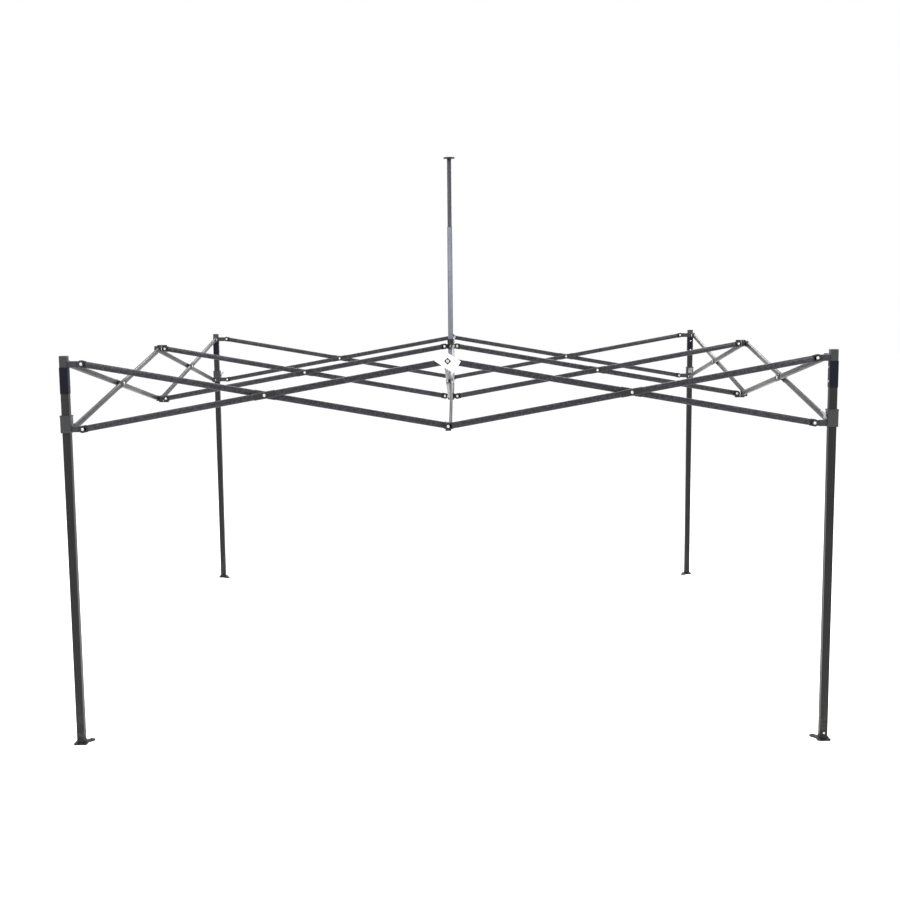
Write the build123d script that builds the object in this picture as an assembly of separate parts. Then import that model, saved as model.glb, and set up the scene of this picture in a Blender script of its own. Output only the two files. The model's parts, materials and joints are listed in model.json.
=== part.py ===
from build123d import *
import os
from math import atan2, cos, degrees, hypot, sin

# Pop up canopy frame: four telescoping legs, a ring of eight scissors, four inner scissors
# from the middle of each side to a central hub, and a telescoping centre mast.
# Millimetres. Origin on the ground under the hub, +Z up, -Y is the front, +X is the right.
# Side 0 is the front, 1 the right, 2 the back and 3 the left. Corner k is the right-hand
# corner of side k, seen from outside. Everything repeats every quarter turn about Z.

SIDES = ("front", "right", "back", "left")
CORNERS = ("front_right", "back_right", "back_left", "front_left")
QUARTER = 90

# Overall sizes
SPAN = 2920.0                 # leg centre to leg centre
LEG_TOP = 1528.0              # ground to the top of a leg, with the inner leg pushed in
PEAK_TOP = 2416.0             # ground to the top of the peak cap

# Scissors
RISE = 248.0                  # height between the upper and the lower pivots
PIVOT_DROP = 32.0             # leg top down to the upper pivots
BAR_THICK = 12.0
BAR_TALL = 25.0
BAR_WALL = 0.8
BAR_CORNER = 4.0
CAP_SKIN = 1.0                # plastic outside a bar's broad faces
CAP_EDGE = 1.5                # plastic above and below a bar
CAP_LENGTH = 16.0             # pivot to the cap's open end
CAP_POCKET = 6.0              # pivot to the bar's cut end
CLIP_LENGTH = 82.0            # sleeve at a crossing
PLATE = 3.0                   # bracket tabs, and the washers at the crossings
PLATE_ROUND = 11.0            # round end of a tab
SIDE_GAP = 0.4                # between a tab and the cap beside it
PIN_R = 3.0
PIN_FIT = 0.08                # radial clearance of a pivot
OPEN_FIT = 0.30               # radial clearance of a pivot that closes a loop
HEAD_R = 6.0
HEAD_HIGH = 2.5
WASHER_R = 9.0
HEAD_GAP = 0.6                # between a side pin's head and the inner bar's cap
ARM_GAP = 1.2                 # cap end to the thick root of an arm
ARM_SINK = 1.0                # how far a root runs into the body it stands on
ARM_WIDE = 18.0
ARM_TALL = 24.0
ARM_FILLET = 3.0
BRIDGE = 4.0                  # thickness of a middle bracket's bridge
BRIDGE_GAP = 0.8              # cap to bridge
BRIDGE_WIDE = 16.0

# Legs
LEG = 30.0
LEG_WALL = 1.0
LEG_CORNER = 3.0
LEG_FOOT_GAP = 9.0            # foot plate to the outer leg's bottom end
HEAD_BLOCK = 44.0             # height of the leg top bracket
PLUG_DEEP = 40.0
PLUG_FIT = 0.2
INNER_LEG = 25.0
INNER_WALL = 1.0
INNER_LENGTH = 1000.0
GUIDE_FIT = 0.25              # nylon guides, each side
GUIDE_LONG = 22.0
BUSH_FLANGE = 4.0
BUTTON_R = 3.6
BUTTON_DROP = 35.0            # inner leg's top down to its snap button
BUTTON_HOLE_R = 4.2
HOLE_FIRST = 85.0             # ground to the lowest height hole
HOLE_PITCH = 90.0
HOLE_COUNT = 4
TAPE_LONG = 100.0             # hook tape sleeve below the leg top bracket
TAPE_THICK = 1.6
TAPE_RIVET_PITCH = 54.0
SMALL_RIVET_R = 4.0
SMALL_RIVET_HIGH = 1.6
STOP_RIVET_Z = 29.0

# Feet
FOOT_THICK = 5.0
FOOT_HALF = 26.0              # leg centre to the plate's edges
FOOT_ROUND = 8.0
LOBE_R = 14.0                 # the lobe round the stake hole
STAKE_R = 5.5
STAKE_IN = 30.0               # leg centre to the stake hole, both ways

# Sliders and their latches
SLIDER_WALL = 5.0
SLIDER_FIT = 0.5              # each side of the leg
SLIDER_BELOW = 14.0           # pivot down to the slider's bottom
SLIDER_ABOVE = 53.0           # pivot up to the slider's top
LIP_HIGH = 5.0
LIP_OUT = 1.0
LATCH_WIDE = 24.0
LATCH_THICK = 3.0
LATCH_PIN_R = 1.6
LATCH_PIN_UP = 20.0           # slider pivot up to the latch pin
LATCH_PIN_OUT = 5.5           # slider face out to the latch pin
LATCH_TALL = 26.0
LATCH_LEAN = 13.0
EAR_THICK = 3.0
EAR_GAP = 0.4
KEY_WIDE = 10.0
KEY_TALL = 7.0
KEY_GAP = 1.0
KEY_SINK = 1.1                # how far the key runs into the lever

# Mast
MAST_R = 12.5
MAST_WALL = 1.0
MAST_TOP = 2080.0
MAST_FIT = 0.4
POLE_R = 10.4
POLE_WALL = 1.0
POLE_LENGTH = 800.0
POLE_FIT = 0.3
COLLAR_WALL = 2.6
HUB_GAP = 1.5                 # hub collar to the ends of the bars' caps
COLLAR_ABOVE = 36.0           # upper pivots up to the top of the hub's collar
COLLAR_BELOW = 14.0
HUB_FLOOR = 4.0
HUB_WEB = 12.0                # width of the web behind each hub arm
CAP_R = 28.0
CAP_HIGH = 6.0
CAP_FILLET = 2.5
RING_THICK = 1.2
RING_HIGH = 16.0

# Blank plate on the front upper middle bolt
BADGE_WIDE = 86.0
BADGE_TALL = 52.0
BADGE_THICK = 1.2
BADGE_TURN = 33.0
BADGE_GAP = 0.6
BADGE_ROUND = 3.0
DIAMOND = 19.0
DIAMOND_THICK = 1.2

# Worked out from the sizes above. The corner arms are as long as a hub arm and a middle
# arm together, which gives every scissor the same run and lets the whole frame close.
HALF = SPAN / 2
UPPER = LEG_TOP - PIVOT_DROP
LOWER = UPPER - RISE
CAP_WIDE = BAR_THICK + 2 * CAP_SKIN
CAP_TALL = BAR_TALL + 2 * CAP_EDGE
CAP_ROUND = CAP_TALL / 2
LAYER = PLATE / 2 + SIDE_GAP + CAP_WIDE / 2
FACE = LAYER + CAP_WIDE / 2
COLLAR_R = MAST_R + MAST_FIT + COLLAR_WALL
HUB_REACH = COLLAR_R + HUB_GAP + CAP_ROUND
MIDDLE_REACH = FACE + HEAD_HIGH + HEAD_GAP + CAP_ROUND
CORNER_REACH = HUB_REACH + MIDDLE_REACH
RUN = HALF - CORNER_REACH
BAR_LENGTH = hypot(RUN, RISE)
TILT = degrees(atan2(RISE, RUN))
ARM_ROOT = CAP_ROUND + ARM_GAP
LEG_BOTTOM = FOOT_THICK + LEG_FOOT_GAP
TUBE_TOP = LEG_TOP - HEAD_BLOCK
LEG_BORE = LEG - 2 * LEG_WALL
SLIDER_BORE = LEG + 2 * SLIDER_FIT
SLIDER = SLIDER_BORE + 2 * SLIDER_WALL
LATCH_AXIS = SLIDER / 2 + LATCH_PIN_OUT
LATCH_PIN_Z = LOWER + LATCH_PIN_UP
EAR_ROUND = 2 * LATCH_PIN_R
KEY_Z = LATCH_PIN_Z + LATCH_TALL / 2
POLE_TOP = PEAK_TOP - CAP_HIGH
POLE_BOTTOM = POLE_TOP - POLE_LENGTH

ALONG_X = Rotation(0, 90, 0)
ALONG_Y = Rotation(-90, 0, 0)
nodes = {}


def rod(radius, low, high, turn=Rotation(0, 0, 0)):
    """A round bar from low to high along Z, turned afterwards."""
    return turn * Pos(0, 0, (low + high) / 2) * Cylinder(radius, high - low)


def block(x, y, z):
    """A box between pairs of coordinates."""
    size = (x[1] - x[0], y[1] - y[0], z[1] - z[0])
    return Pos((x[0] + x[1]) / 2, (y[0] + y[1]) / 2, (z[0] + z[1]) / 2) * Box(*size)


def square_bar(side, corner, low, high):
    """An upright square bar with rounded corners."""
    return extrude(Pos(0, 0, low) * RectangleRounded(side, side, corner), high - low)


def square_tube(side, wall, corner, low, high):
    inside = square_bar(side - 2 * wall, max(corner - wall, wall / 2), low, high)
    return square_bar(side, corner, low, high) - inside


def ring(outer, inner, low, high):
    return rod(outer, low, high) - rod(inner, low, high)


def pin(low, high):
    """A headed pivot pin along Z: faces of the stack at low and high."""
    heads = Pos(0, 0, low - HEAD_HIGH / 2) * Cylinder(HEAD_R, HEAD_HIGH)
    heads += Pos(0, 0, high + HEAD_HIGH / 2) * Cylinder(HEAD_R, HEAD_HIGH)
    outer = heads.edges().filter_by(GeomType.CIRCLE).sort_by(Axis.Z)
    heads = fillet([outer[0], outer[-1]], HEAD_HIGH / 2)
    return heads + rod(PIN_R, low, high)


def bar_section(grow=0.0):
    """The bar's section, drawn across its length: thickness along Y, height along Z."""
    size = (BAR_THICK + 2 * grow, BAR_TALL + 2 * grow)
    return Plane.YZ * RectangleRounded(*size, BAR_CORNER + grow)


def end_cap(bore):
    """A cap about a pivot at the origin, its open end towards +X."""
    body = rod(CAP_ROUND, -CAP_WIDE / 2, CAP_WIDE / 2, ALONG_Y)
    body += block((0, CAP_LENGTH), (-CAP_WIDE / 2, CAP_WIDE / 2), (-CAP_ROUND, CAP_ROUND))
    body -= Pos(CAP_POCKET, 0, 0) * extrude(bar_section(), CAP_LENGTH)
    return body - rod(bore, -CAP_WIDE, CAP_WIDE, ALONG_Y)


def scissor_bar(start_bore, end_bore, carries_pin):
    """One bar along +X from its first pivot. +Y points away from the other bars of its side."""
    middle = BAR_LENGTH / 2
    cross_bore = PIN_R if carries_pin else PIN_R + OPEN_FIT
    cross_hole = Pos(middle, 0, 0) * rod(cross_bore, -CAP_WIDE, CAP_WIDE, ALONG_Y)
    tube = extrude(bar_section(), BAR_LENGTH - 2 * CAP_POCKET)
    tube -= extrude(bar_section(-BAR_WALL), BAR_LENGTH - 2 * CAP_POCKET)
    tube = Pos(CAP_POCKET, 0, 0) * tube - cross_hole
    clip = Pos(middle, 0, 0) * Box(CLIP_LENGTH, CAP_WIDE, CAP_TALL)
    clip -= Pos(middle - CLIP_LENGTH, 0, 0) * extrude(bar_section(), 2 * CLIP_LENGTH)
    pieces = [tube, end_cap(start_bore), clip - cross_hole]
    pieces.append(Pos(BAR_LENGTH, 0, 0) * Rotation(0, 180, 0) * end_cap(end_bore))
    if carries_pin:
        far_face = -2 * LAYER - CAP_WIDE / 2
        pieces.append(Pos(middle, 0, 0) * ALONG_Y * pin(far_face, CAP_WIDE / 2))
        washer = ring(WASHER_R, PIN_R, -LAYER - PLATE / 2, -LAYER + PLATE / 2)
        pieces.append(Pos(middle, 0, 0) * ALONG_Y * washer)
    return pieces


def laid(pieces, start, heading, layer):
    """Lay a bar from its first pivot along heading, in the layer on that side of the plane."""
    away = Vector(*layer)
    origin = Vector(*start) + away * LAYER
    frame = Plane(origin=origin, x_dir=heading, z_dir=heading.cross(away))
    return [frame.location * piece for piece in pieces]


def turned(pieces, k):
    """The same pieces on side or corner k."""
    return [Rotation(0, 0, QUARTER * k) * piece for piece in pieces]


def tab(reach, level, low_root):
    """A thin upright tab in the XZ plane: from low_root out to a round end about reach."""
    height = (level - PLATE_ROUND, level + PLATE_ROUND)
    plate = block((low_root, reach), (-PLATE / 2, PLATE / 2), height)
    plate += Pos(reach, 0, level) * rod(PLATE_ROUND, -PLATE / 2, PLATE / 2, ALONG_Y)
    return plate


def arm(face, reach, level):
    """An arm along +X: a thick root on the face, then a tab round the pivot."""
    root_end = reach - ARM_ROOT
    height = (level - ARM_TALL / 2, level + ARM_TALL / 2)
    root = block((face - ARM_SINK, root_end), (-ARM_WIDE / 2, ARM_WIDE / 2), height)
    root = fillet(root.edges().filter_by(Axis.X), ARM_FILLET)
    return root + tab(reach, level, root_end - ARM_SINK)


def pin_hole(x, level, radius=PIN_R):
    return Pos(x, 0, level) * rod(radius, -FACE, FACE, ALONG_Y)


def tab_pin(x, level, side):
    """A pin along Y through a tab and the cap on one side of it."""
    low, high = (-PLATE / 2, FACE) if side > 0 else (-FACE, PLATE / 2)
    return Pos(x, 0, level) * ALONG_Y * pin(low, high)


# Scissors of the front side. Each row gives a bar's first pivot, its heading, its layer, the
# bores at its two ends and whether it carries the pin of its crossing.
LEFT, RIGHT, OUTWARD, INWARD = (-1, 0, 0), (1, 0, 0), (0, -1, 0), (0, 1, 0)
JOINTED = PIN_R + PIN_FIT
LOOSE = PIN_R + OPEN_FIT
HUB_TOP = (0, -HUB_REACH, UPPER)
HUB_LOW = (0, -HUB_REACH, LOWER)
SIDE_TOP = (0, -HALF, UPPER)
SIDE_LOW = (0, -HALF, LOWER)
FRONT_BARS = {
    "inner_bar_a": (HUB_TOP, OUTWARD, -RISE, RIGHT, JOINTED, JOINTED, True),
    "inner_bar_b": (HUB_LOW, OUTWARD, RISE, LEFT, LOOSE, JOINTED, False),
    "top_bar_right": (SIDE_LOW, RIGHT, RISE, OUTWARD, JOINTED, JOINTED, True),
    "top_bar_left": (SIDE_LOW, LEFT, RISE, INWARD, JOINTED, LOOSE, False),
    "slider_bar_right": (SIDE_TOP, RIGHT, -RISE, INWARD, JOINTED, JOINTED, False),
    "slider_bar_left": (SIDE_TOP, LEFT, -RISE, OUTWARD, JOINTED, LOOSE, True),
}
for name, (start, way, climb, layer, near_bore, far_bore, carries_pin) in FRONT_BARS.items():
    heading = (Vector(*way) * RUN + Vector(0, 0, climb)) / BAR_LENGTH
    pieces = laid(scissor_bar(near_bore, far_bore, carries_pin), start, heading, layer)
    for k, side in enumerate(SIDES):
        nodes[f"{side}_{name}"] = turned(pieces, k)


def middle_bracket(level, up, inner_side, outer_face=-FACE):
    """Bracket of the front side: up is +1 for the upper one, -1 for the lower one."""
    bridge_low = CAP_ROUND + BRIDGE_GAP
    bridge_high = bridge_low + BRIDGE
    zs = sorted((level + up * bridge_low, level + up * bridge_high))
    stem = sorted((level, level + up * bridge_high))
    far = MIDDLE_REACH + PLATE_ROUND
    near = FACE + HEAD_HIGH + 2 * HEAD_GAP
    body = rod(PLATE_ROUND, -PLATE / 2, PLATE / 2, ALONG_Y).moved(Pos(0, 0, level))
    body += block((-PLATE_ROUND, PLATE_ROUND), (-PLATE / 2, PLATE / 2), stem)
    body += block((-BRIDGE_WIDE / 2, BRIDGE_WIDE / 2), (-PLATE / 2, far), zs)
    body += block((-PLATE / 2, PLATE / 2), (near, far), stem)
    body += Pos(0, MIDDLE_REACH, level) * rod(PLATE_ROUND, -PLATE / 2, PLATE / 2, ALONG_X)
    side_hole = pin_hole(0, level)
    inner_hole = Pos(0, MIDDLE_REACH, level) * rod(PIN_R, -FACE, FACE, ALONG_X)
    body = body - side_hole - inner_hole
    long_pin = Pos(0, 0, level) * ALONG_Y * pin(outer_face, FACE)
    low, high = (-PLATE / 2, FACE) if inner_side > 0 else (-FACE, PLATE / 2)
    inner_pin = Pos(0, MIDDLE_REACH, level) * ALONG_X * pin(low, high)
    return [Pos(0, -HALF, 0) * piece for piece in (body, long_pin, inner_pin)]


BADGE_BACK = -FACE - BADGE_GAP
BADGE_FRONT = BADGE_BACK - BADGE_THICK
DIAMOND_FRONT = BADGE_FRONT - DIAMOND_THICK
for k, side in enumerate(SIDES):
    badge_face = DIAMOND_FRONT if k == 0 else -FACE
    nodes[f"{side}_upper_bracket"] = turned(middle_bracket(UPPER, 1, -1, badge_face), k)
    nodes[f"{side}_lower_bracket"] = turned(middle_bracket(LOWER, -1, 1), k)


def badge():
    """Blank name plate and its diamond washer, both on the front bolt."""
    hole = rod(PIN_R, -FACE, FACE)
    plate = extrude(RectangleRounded(BADGE_WIDE, BADGE_TALL, BADGE_ROUND), BADGE_THICK) - hole
    washer = extrude(Rectangle(DIAMOND, DIAMOND), DIAMOND_THICK) - hole
    facing = Pos(0, -HALF + BADGE_BACK, UPPER) * Rotation(90, 0, 0)
    plate = facing * Rotation(0, 0, -BADGE_TURN) * plate
    washer = facing * Pos(0, 0, BADGE_THICK) * Rotation(0, 0, 45) * washer
    return [plate, washer]


nodes["blank_plate"] = badge()


def hub(level, collar_low, collar_high, bore, sides, with_floor):
    """A hub: collar round the mast, and four arms with their pins."""
    body = rod(COLLAR_R, collar_low, collar_high)
    height = (level - ARM_TALL / 2, level + ARM_TALL / 2)
    web = block((0, COLLAR_R + HUB_GAP / 2), (-HUB_WEB / 2, HUB_WEB / 2), height)
    for k in range(4):
        body += Rotation(0, 0, QUARTER * k) * (tab(HUB_REACH, level, 0) + web)
    floor = collar_low + HUB_FLOOR if with_floor else collar_low
    body -= rod(bore, floor, collar_high)
    pieces = []
    for k in range(4):
        turn = Rotation(0, 0, QUARTER * k)
        body -= turn * pin_hole(HUB_REACH, level)
        pieces.append(turn * tab_pin(HUB_REACH, level, sides))
    return [body] + pieces


# The front arm of a hub points along -Y, and its bar lies towards +X at the top.
collar_top = UPPER + COLLAR_ABOVE
hub_bottom = LOWER - COLLAR_BELOW - HUB_FLOOR
nodes["upper_hub"] = hub(UPPER, UPPER - COLLAR_BELOW, collar_top, MAST_R + MAST_FIT, 1, False)
nodes["lower_hub"] = hub(LOWER, hub_bottom, LOWER + COLLAR_BELOW, MAST_R, -1, True)

mast_tube = ring(MAST_R, MAST_R - MAST_WALL, LOWER - COLLAR_BELOW, MAST_TOP)
# The mast's top bush stays inside its outline, because the upper hub passes over it.
mast_ring = ring(MAST_R - MAST_WALL, POLE_R + POLE_FIT, MAST_TOP - RING_HIGH, MAST_TOP)
mast_ring += ring(MAST_R, POLE_R + POLE_FIT, MAST_TOP, MAST_TOP + RING_THICK)
nodes["mast_tube"] = [mast_tube, mast_ring]

pole = ring(POLE_R, POLE_R - POLE_WALL, POLE_BOTTOM, POLE_TOP)
pole_guide = ring(MAST_R - MAST_WALL - POLE_FIT, POLE_R, POLE_BOTTOM, POLE_BOTTOM + GUIDE_LONG)
nodes["peak_pole"] = [pole, pole_guide]
peak_cap = rod(CAP_R, POLE_TOP, PEAK_TOP)
peak_cap = fillet(peak_cap.edges().filter_by(GeomType.CIRCLE).group_by(Axis.Z)[-1], CAP_FILLET)
peak_cap += rod(POLE_R - POLE_WALL, POLE_TOP - GUIDE_LONG, POLE_TOP)
nodes["peak_cap"] = [peak_cap]

# Corner pieces are drawn about the leg axis of the front right corner: arm A runs along -X
# into the front side and arm B along +Y into the right side.
AT_CORNER = Pos(HALF, -HALF, 0)
TO_A = Rotation(0, 0, 180)
TO_B = Rotation(0, 0, 90)
TO_SIDE_FACE = Rotation(0, 0, 90)


def corner_set(pieces, k):
    return turned([AT_CORNER * piece for piece in pieces], k)


def leg_top_bracket():
    body = square_bar(LEG, LEG_CORNER, TUBE_TOP, LEG_TOP)
    body = fillet(body.faces().sort_by(Axis.Z)[-1].edges(), LEG_CORNER / 2)
    body += square_bar(LEG_BORE - 2 * PLUG_FIT, LEG_CORNER - LEG_WALL, TUBE_TOP - PLUG_DEEP, TUBE_TOP)
    pieces = []
    for turn, side in ((TO_A, 1), (TO_B, 1)):
        body += turn * arm(LEG / 2, CORNER_REACH, UPPER)
        body -= turn * pin_hole(CORNER_REACH, UPPER)
        pieces.append(turn * tab_pin(CORNER_REACH, UPPER, side))
    return [body] + pieces


def inner_face_rivet(depth, z):
    """A small rivet head that stands on a face of the leg, depth out along -X."""
    return Pos(-depth - SMALL_RIVET_HIGH / 2, 0, z) * ALONG_X * Cylinder(SMALL_RIVET_R, SMALL_RIVET_HIGH)


def outer_leg():
    tube = square_tube(LEG, LEG_WALL, LEG_CORNER, LEG_BOTTOM, TUBE_TOP)
    for n in range(HOLE_COUNT):
        hole = rod(BUTTON_HOLE_R, 0, LEG, ALONG_X)
        tube -= Pos(-LEG, 0, HOLE_FIRST + n * HOLE_PITCH) * hole
    tape_low = TUBE_TOP - TAPE_LONG
    tape = square_tube(LEG + 2 * TAPE_THICK, TAPE_THICK, LEG_CORNER + TAPE_THICK, tape_low, TUBE_TOP)
    middle = tape_low + TAPE_LONG / 2
    pieces = [tube, tape]
    for offset in (-TAPE_RIVET_PITCH / 2, TAPE_RIVET_PITCH / 2):
        pieces.append(inner_face_rivet(LEG / 2 + TAPE_THICK, middle + offset))
    stop = TO_SIDE_FACE * inner_face_rivet(LEG / 2, STOP_RIVET_Z)
    bore = INNER_LEG + 2 * GUIDE_FIT
    wall = (LEG_BORE - bore) / 2
    bush = square_tube(LEG_BORE, wall, LEG_CORNER - LEG_WALL, LEG_BOTTOM, LEG_BOTTOM + GUIDE_LONG)
    flange_low = LEG_BOTTOM - BUSH_FLANGE
    flange = square_bar(LEG + 2 * LEG_WALL, LEG_CORNER, flange_low, LEG_BOTTOM)
    bush += flange - square_bar(bore, LEG_CORNER - LEG_WALL, flange_low, LEG_BOTTOM)
    return pieces + [stop, bush]


def inner_leg():
    top = FOOT_THICK + INNER_LENGTH
    button_z = top - BUTTON_DROP
    tube = square_tube(INNER_LEG, INNER_WALL, LEG_CORNER - LEG_WALL, FOOT_THICK, top)
    tube -= Pos(-INNER_LEG, 0, button_z) * rod(BUTTON_R, 0, INNER_LEG, ALONG_X)
    guide = square_bar(LEG_BORE - 2 * GUIDE_FIT, LEG_CORNER - LEG_WALL, top, top + BUSH_FLANGE)
    guide += square_bar(INNER_LEG - 2 * INNER_WALL, INNER_WALL, top - GUIDE_LONG, top)
    reach = LEG_BORE / 2 - GUIDE_FIT
    button = Pos(0, 0, button_z) * rod(BUTTON_R, -reach, -INNER_LEG / 2 + INNER_WALL + PLATE, ALONG_X)
    return [tube, guide, button]


def foot():
    """A square plate with a round lobe for the stake hole, towards the middle of the frame."""
    at_hole = Pos(-STAKE_IN, STAKE_IN, 0)
    neck = Rectangle(2 * LOBE_R, hypot(STAKE_IN, STAKE_IN))
    outline = RectangleRounded(2 * FOOT_HALF, 2 * FOOT_HALF, FOOT_ROUND)
    outline += Pos(-STAKE_IN / 2, STAKE_IN / 2, 0) * Rotation(0, 0, 45) * neck
    outline += at_hole * Circle(LOBE_R)
    return extrude(outline, FOOT_THICK) - at_hole * rod(STAKE_R, 0, FOOT_THICK)


def slider():
    low, high = LOWER - SLIDER_BELOW, LOWER + SLIDER_ABOVE
    body = square_bar(SLIDER, LEG_CORNER + SLIDER_WALL / 2, low, high)
    body += square_bar(SLIDER + 2 * LIP_OUT, LEG_CORNER + SLIDER_WALL / 2, high - LIP_HIGH, high)
    pieces = []
    for turn, side in ((TO_A, -1), (TO_B, -1)):
        body += turn * arm(SLIDER / 2, CORNER_REACH, LOWER)
        body -= turn * pin_hole(CORNER_REACH, LOWER)
        pieces.append(turn * tab_pin(CORNER_REACH, LOWER, side))
    ear_in = LATCH_WIDE / 2 + EAR_GAP
    for out in (1, -1):
        ys = sorted((out * ear_in, out * (ear_in + EAR_THICK)))
        zs = (LATCH_PIN_Z - EAR_ROUND, LATCH_PIN_Z + EAR_ROUND)
        body += block((-LATCH_AXIS, ARM_SINK - SLIDER / 2), ys, zs)
        body += Pos(-LATCH_AXIS, sum(ys) / 2, LATCH_PIN_Z) * ALONG_Y * Cylinder(EAR_ROUND, EAR_THICK)
    pin_out = ear_in + EAR_THICK
    latch_pin = Pos(-LATCH_AXIS, 0, LATCH_PIN_Z) * rod(LATCH_PIN_R, -pin_out, pin_out, ALONG_Y)
    body -= latch_pin
    window_half = KEY_WIDE / 2 + KEY_GAP
    body -= block((-SLIDER, 0), (-window_half, window_half), (KEY_Z - KEY_TALL, KEY_Z + KEY_TALL))
    body -= square_bar(SLIDER_BORE, LEG_CORNER, low, high)
    return [body, latch_pin] + pieces


def latch():
    """A thumb lever hinged low on the slider's -X face, with the key that looks in at the leg."""
    root = (-LATCH_AXIS, LATCH_PIN_Z)
    tip = (-LATCH_AXIS - LATCH_LEAN, LATCH_PIN_Z + LATCH_TALL)
    spine = TangentArc(root, tip, tangent=(0, 1))
    profile = make_face(offset(spine, LATCH_THICK / 2, side=Side.BOTH))
    lever = extrude(Plane.XZ * profile, LATCH_WIDE / 2, both=True)
    at_pin = Pos(-LATCH_AXIS, 0, LATCH_PIN_Z)
    lever += at_pin * rod(EAR_ROUND, -LATCH_WIDE / 2, LATCH_WIDE / 2, ALONG_Y)
    key_x = (-LATCH_AXIS - LATCH_THICK / 2 - KEY_SINK, -SLIDER_BORE / 2 - KEY_GAP)
    lever += block(key_x, (-KEY_WIDE / 2, KEY_WIDE / 2), (KEY_Z - KEY_TALL / 2, KEY_Z + KEY_TALL / 2))
    return lever - at_pin * rod(LATCH_PIN_R + PIN_FIT, -LATCH_WIDE, LATCH_WIDE, ALONG_Y)


for k, corner in enumerate(CORNERS):
    nodes[f"{corner}_leg_top"] = corner_set(leg_top_bracket(), k)
    nodes[f"{corner}_outer_leg"] = corner_set(outer_leg(), k)
    nodes[f"{corner}_inner_leg"] = corner_set(inner_leg() + [foot()], k)
    nodes[f"{corner}_slider"] = corner_set(slider(), k)
    nodes[f"{corner}_latch"] = corner_set([latch()], k)


os.makedirs("parts", exist_ok=True)
for name, pieces in nodes.items():
    solids = [solid for piece in pieces for solid in piece.solids()]
    shape = solids[0] if len(solids) == 1 else Compound(children=solids)
    shape.label = name
    export_step(shape, f"parts/{name}.step")
print(f"{len(nodes)} nodes, bar {BAR_LENGTH:.3f} mm between pivots, tilt {TILT:.4f} degrees")
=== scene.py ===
# %% [markdown]
# # A pop up canopy's folding frame
# Eight scissors make a square ring between four legs, and four more run from the middles of the
# sides to two hubs on a centre mast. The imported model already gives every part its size, its place
# and its joints, so this lesson only makes the finish: rounder shapes, small details and paint.
# Everything is in metres, with the ground at z = 0, the front at -Y and the right at +X.

# %% Load the frame
import json
from math import cos, pi, radians, sin

import bmesh
import bpy
from mathutils import Matrix, Quaternion, Vector


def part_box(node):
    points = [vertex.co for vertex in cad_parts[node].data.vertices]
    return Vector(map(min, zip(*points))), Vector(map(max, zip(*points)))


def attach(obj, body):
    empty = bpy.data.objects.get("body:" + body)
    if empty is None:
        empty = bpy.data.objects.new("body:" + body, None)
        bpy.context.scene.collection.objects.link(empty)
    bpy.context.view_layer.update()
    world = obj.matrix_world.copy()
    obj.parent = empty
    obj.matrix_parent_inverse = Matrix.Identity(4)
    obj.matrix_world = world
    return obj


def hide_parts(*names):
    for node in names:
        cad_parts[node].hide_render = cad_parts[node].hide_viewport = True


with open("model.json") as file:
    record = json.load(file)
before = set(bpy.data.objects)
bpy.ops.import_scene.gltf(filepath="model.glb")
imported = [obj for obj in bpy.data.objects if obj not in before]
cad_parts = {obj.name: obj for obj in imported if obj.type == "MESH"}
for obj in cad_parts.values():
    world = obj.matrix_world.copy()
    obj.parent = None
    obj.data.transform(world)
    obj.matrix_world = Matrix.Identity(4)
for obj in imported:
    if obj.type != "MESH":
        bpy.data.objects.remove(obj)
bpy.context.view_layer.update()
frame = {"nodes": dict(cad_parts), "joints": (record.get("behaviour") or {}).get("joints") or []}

MM = 0.001
SIDES = ("front", "right", "back", "left")
CORNERS = ("front_right", "back_right", "back_left", "front_left")
joints = {joint["name"]: joint for joint in frame["joints"]}

# %% [markdown]
# ## Writing node trees as sums
# A node tree drawn by hand is easy to read, and one made by a script is not, unless it is written
# like arithmetic. A wire stands for one output of a node. Adding or multiplying wires adds Math
# nodes, and every other node comes from one method, which takes the node's type, what goes into
# its sockets, the output that is wanted and its settings. Shaders and geometry share both classes.

# %% Wires and graphs
class Wire:
    """One output of a node, which can be added to, taken from and multiplied."""

    def __init__(self, graph, socket):
        self.graph = graph
        self.socket = socket

    def math(self, operation, first, second):
        return self.graph.add("ShaderNodeMath", {0: first, 1: second}, operation=operation)

    def __add__(self, other):
        return self.math("ADD", self, other)

    def __radd__(self, other):
        return self.math("ADD", other, self)

    def __sub__(self, other):
        return self.math("SUBTRACT", self, other)

    def __rsub__(self, other):
        return self.math("SUBTRACT", other, self)

    def __mul__(self, other):
        return self.math("MULTIPLY", self, other)

    def __rmul__(self, other):
        return self.math("MULTIPLY", other, self)


class Graph:
    """A node tree that is filled one node at a time."""

    def __init__(self, tree):
        self.tree = tree

    def add(self, kind, inputs=None, out=0, **settings):
        """Adds a node: its settings first, then the values or links of its sockets."""
        node = self.tree.nodes.new(kind)
        for name, value in settings.items():
            setattr(node, name, value)
        for key, value in (inputs or {}).items():
            for item in value if isinstance(value, list) else [value]:
                if isinstance(item, Wire):
                    self.tree.links.new(item.socket, node.inputs[key])
                else:
                    node.inputs[key].default_value = item
        return Wire(self, node.outputs[out]) if node.outputs else node


# %% [markdown]
# ## Paint, nylon and zinc
# Each finish is a short function. It reads Object coordinates, which are metres on this frame,
# so a noise scale of 400 gives specks about 2.5 mm wide wherever the piece is. Colour, roughness
# and bump all come from the same few noises, because a real scuff changes all three at once.

# %% Helpers that every finish uses
def start_finish(name):
    """A new material, its graph and the place of the point that is shaded."""
    material = bpy.data.materials.new(name)
    material.use_nodes = True
    material.node_tree.nodes.clear()
    graph = Graph(material.node_tree)
    return material, graph, graph.add("ShaderNodeTexCoord", out="Object")


def noise(graph, place, scale, detail=3.0, roughness=0.5):
    values = {"Vector": place, "Scale": scale, "Detail": detail, "Roughness": roughness}
    return graph.add("ShaderNodeTexNoise", values, "Fac")


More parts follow.
